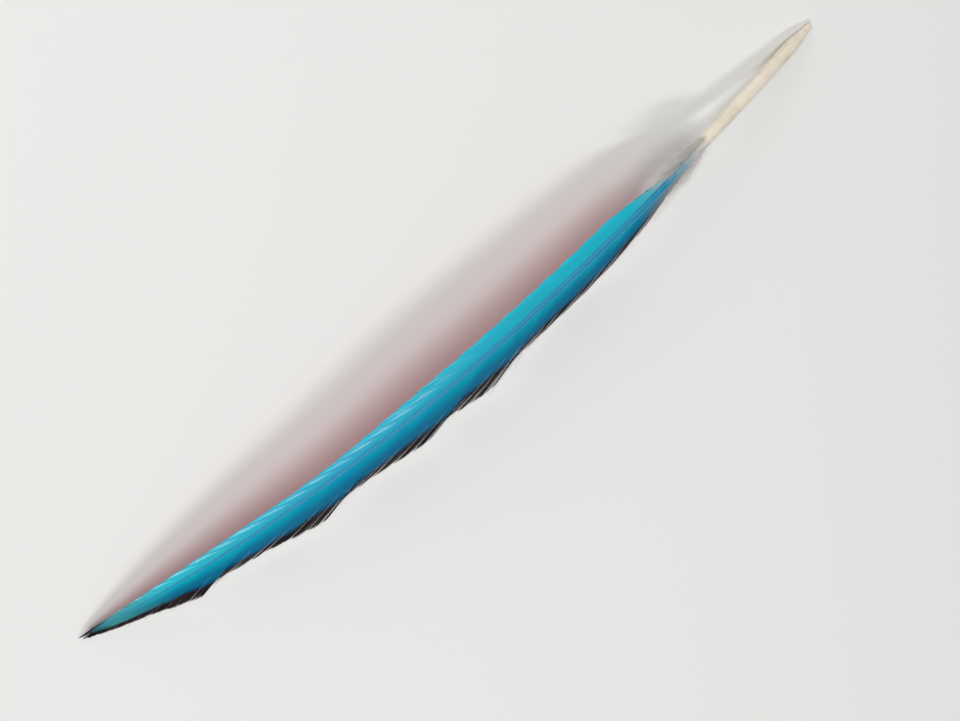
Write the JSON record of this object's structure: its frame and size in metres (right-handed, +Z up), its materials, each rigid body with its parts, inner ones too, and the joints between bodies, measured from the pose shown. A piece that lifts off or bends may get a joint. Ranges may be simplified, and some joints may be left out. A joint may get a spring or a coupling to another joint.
{
  "type": "macaw feather",
  "caption": "Flight feather from a macaw's wing: bare quill, arched tapering shaft, narrow outer vane and wide inner vane split into locks, blue above and pink below, lying upper side up.",
  "frame": {"origin": "on the surface the feather lies on, under the middle of its bounding box", "axes": "+X from the quill's end to the tip, +Y towards the wide inner vane, +Z up from the surface"},
  "size_m": [0.3254, 0.0354, 0.0202],
  "materials": {
    "feather": "satin"
  },
  "bodies": {
    "root": {"feather": "feather"}
  },
  "joints": []
}
